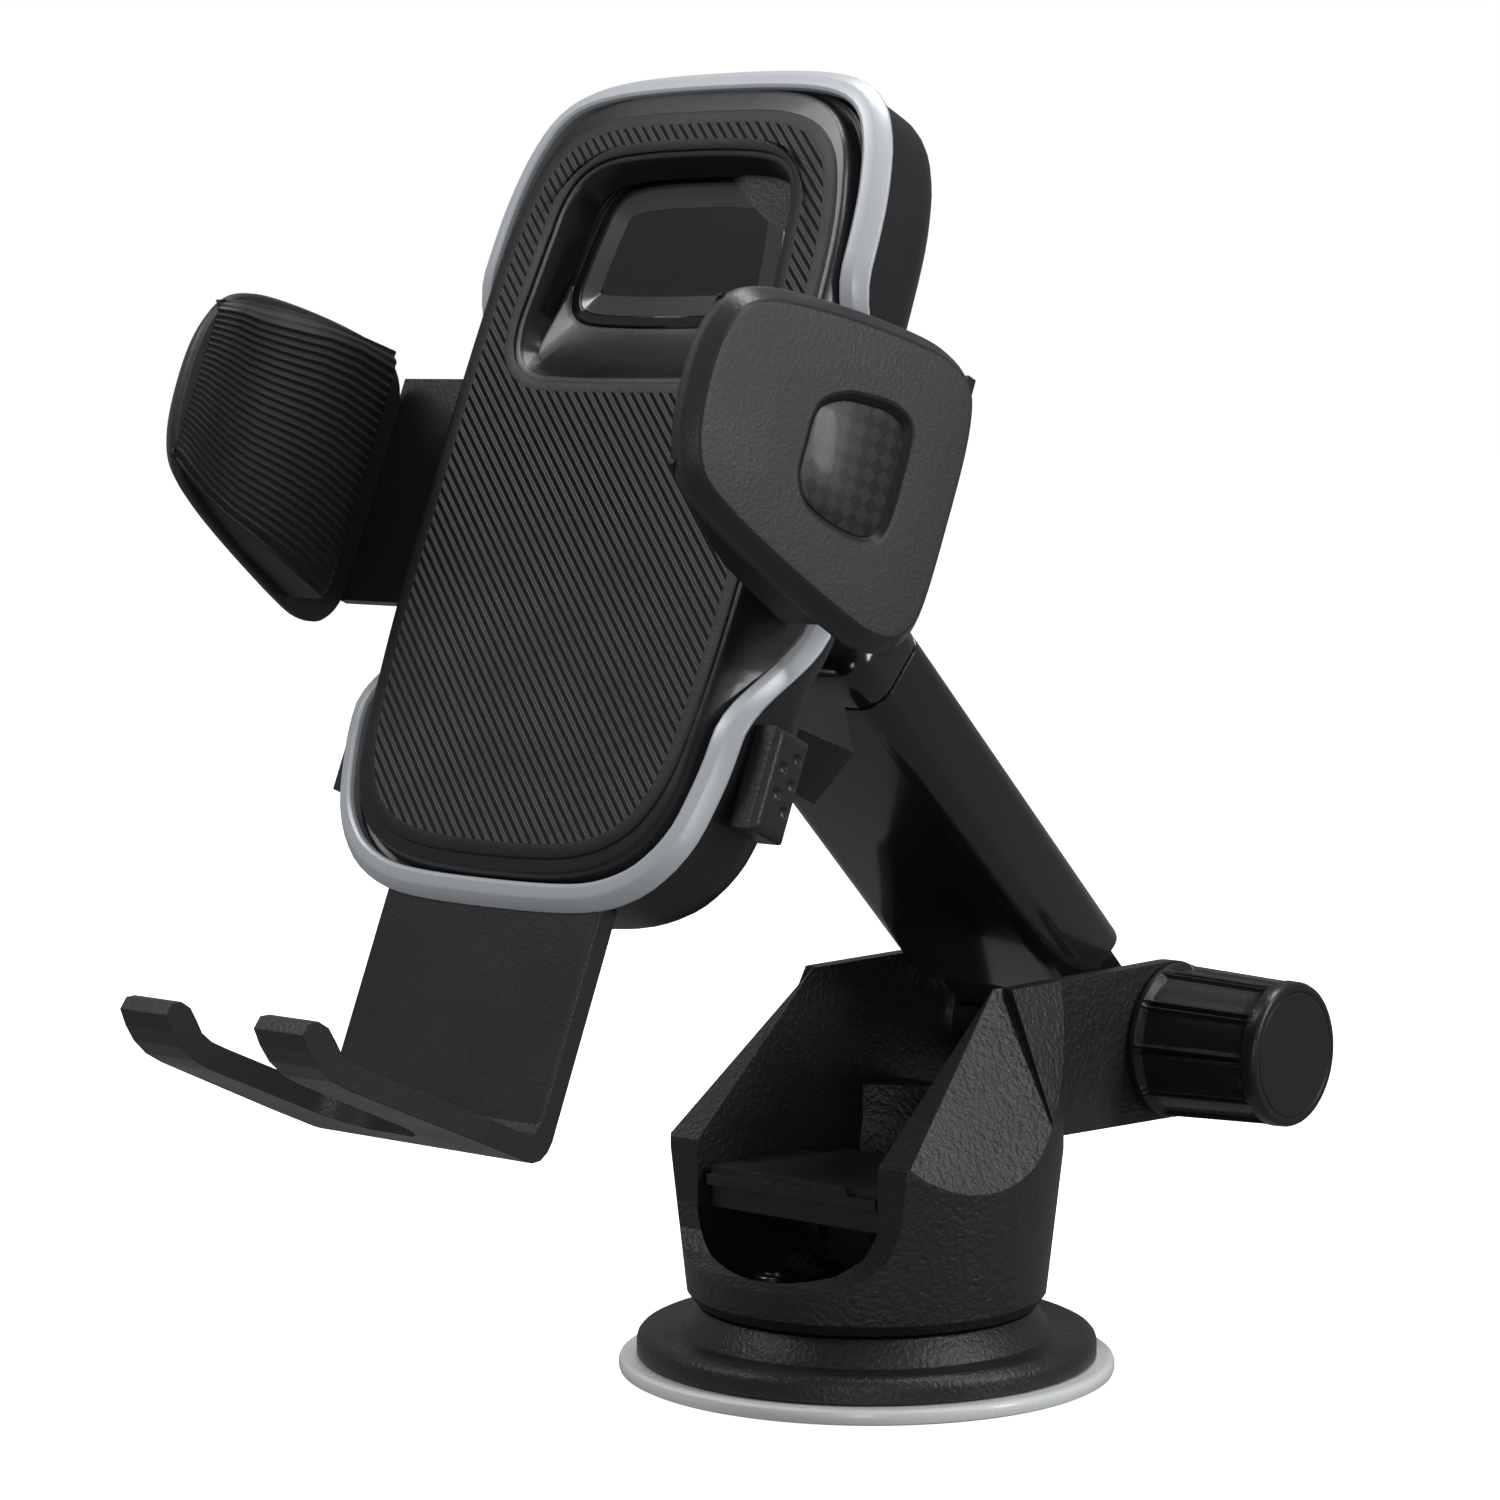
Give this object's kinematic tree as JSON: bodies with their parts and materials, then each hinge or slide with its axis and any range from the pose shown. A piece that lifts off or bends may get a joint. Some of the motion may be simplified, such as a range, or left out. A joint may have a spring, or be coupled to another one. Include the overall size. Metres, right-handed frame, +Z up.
{
  "type": "car phone mount",
  "caption": "Suction-base car phone mount with folding telescopic arm, ball joint, sliding foot and geared side clamps released by push buttons.",
  "frame": {"origin": "centre of the gel pad's underside, where the base sits on the dashboard", "axes": "+Z up, -Y towards the front of the cradle, +X towards the clamp knob side"},
  "size_m": [0.1202, 0.2085, 0.2056],
  "materials": {
    "clear_gel": "translucent",
    "fine_grain": "fine grain",
    "satin_black": "satin",
    "steel": "satin",
    "rubber_black": "matte",
    "knob_black": "satin",
    "brass": "satin",
    "gloss_black": "gloss",
    "liner": "matte",
    "silver": "satin",
    "lens": "gloss",
    "nut_black": "satin",
    "satin_grey": "satin",
    "clamp_grey": "matte",
    "twill": "woven"
  },
  "bodies": {
    "base": {"gel_pad": "clear_gel", "base_ring": "fine_grain", "base_housing": "satin_black", "base_screws": "steel", "pivot_bolt": "steel", "pivot_washers": "steel"},
    "plunger": {"plunger": "satin_black", "cup_plate": "rubber_black", "lever_pin": "steel"},
    "lever": {"suction_lever": "satin_black"},
    "knob": {"clamp_knob": "knob_black", "knob_insert": "brass", "knob_cap": "knob_black"},
    "lower_arm": {"inner_arm": "gloss_black"},
    "upper_arm": {"outer_sleeve": "gloss_black", "arm_head": "gloss_black", "ball_stud": "steel"},
    "pan_shell": {"ball_liner": "liner"},
    "tilt_shell": {"ball_seat": "liner"},
    "cradle": {"ball_socket": "satin_black", "back_shell": "satin_black", "shell_screws": "steel", "trim_ring": "silver", "front_cover": "gloss_black", "face_pad": "rubber_black", "window_lens": "lens", "gear_post": "steel"},
    "nut": {"ring_nut": "nut_black"},
    "foot": {"foot_plate": "satin_grey"},
    "pinion": {"pinion_gear": "liner"},
    "right_clamp": {"right_slide": "satin_grey", "right_wing": "clamp_grey", "right_pad": "rubber_black", "right_badge": "twill"},
    "left_clamp": {"left_slide": "satin_grey", "left_wing": "clamp_grey", "left_pad": "rubber_black", "left_badge": "twill"},
    "right_release": {"right_button": "satin_grey"},
    "left_release": {"left_button": "satin_grey"},
    "latch": {"latch_plate": "liner"}
  },
  "joints": [
    {"name": "lever_lift", "type": "hinge", "parent": "plunger", "child": "lever", "pos_m": [0, 0, 0.022], "axis": [-1, 0, 0], "range_deg": [0, 65]},
    {"name": "plunger_drop", "type": "slide", "parent": "base", "child": "plunger", "axis": [0, 0, -1], "range_m": [0, 0.0024]},
    {"name": "knob_turn", "type": "hinge", "parent": "base", "child": "knob", "pos_m": [0, 0.0541, 0.0491], "axis": [1, 0, 0], "continuous": true},
    {"name": "arm_fold", "type": "hinge", "parent": "base", "child": "lower_arm", "pos_m": [0, 0.0541, 0.0491], "axis": [1, 0, 0], "range_deg": [-136, 40]},
    {"name": "arm_extend", "type": "slide", "parent": "lower_arm", "child": "upper_arm", "axis": [0, -0.723, 0.6909], "range_m": [0, 0.045]},
    {"name": "ball_pan", "type": "hinge", "parent": "upper_arm", "child": "pan_shell", "pos_m": [0, -0.03801, 0.106], "axis": [0, 0, 1], "range_deg": [-25, 25]},
    {"name": "ball_tilt", "type": "hinge", "parent": "pan_shell", "child": "tilt_shell", "pos_m": [0, -0.03801, 0.106], "axis": [1, 0, 0], "range_deg": [0, 38]},
    {"name": "ball_roll", "type": "hinge", "parent": "tilt_shell", "child": "cradle", "pos_m": [0, -0.03801, 0.106], "axis": [0, 0.9171, -0.3987], "range_deg": [-95, 95]},
    {"name": "nut_turn", "type": "hinge", "parent": "cradle", "child": "nut", "pos_m": [0, -0.03801, 0.106], "axis": [0, 0.9171, -0.3987], "continuous": true},
    {"name": "foot_slide", "type": "slide", "parent": "cradle", "child": "foot", "axis": [0, 0.3987, 0.9171], "range_m": [0, 0.027]},
    {"name": "right_clamp_slide", "type": "slide", "parent": "cradle", "child": "right_clamp", "axis": [-1, 0, 0], "range_m": [0, 0.0155]},
    {"name": "left_clamp_slide", "type": "slide", "parent": "cradle", "child": "left_clamp", "axis": [1, 0, 0], "range_m": [0, 0.0155]},
    {"name": "pinion_turn", "type": "hinge", "parent": "cradle", "child": "pinion", "pos_m": [0, -0.05382, 0.1421], "axis": [0, 0.9171, -0.3987], "range_deg": [0, 198]},
    {"name": "right_button_press", "type": "slide", "parent": "cradle", "child": "right_release", "axis": [-1, 0, 0], "range_m": [0, 0.0022], "stiffness_N_per_m": 150, "springref_m": -0.002},
    {"name": "left_button_press", "type": "slide", "parent": "cradle", "child": "left_release", "axis": [1, 0, 0], "range_m": [0, 0.0022]},
    {"name": "latch_drop", "type": "slide", "parent": "cradle", "child": "latch", "axis": [0, -0.3987, -0.9171], "range_m": [0, 0.0022]}
  ],
  "couplings": [
    {"joint": "lever_lift", "follows": "plunger_drop", "rad_per_m": 472.65},
    {"joint": "left_clamp_slide", "follows": "right_clamp_slide", "ratio": 1},
    {"joint": "pinion_turn", "follows": "right_clamp_slide", "rad_per_m": 222.22},
    {"joint": "left_button_press", "follows": "right_button_press", "ratio": 1},
    {"joint": "latch_drop", "follows": "right_button_press", "ratio": 1}
  ]
}
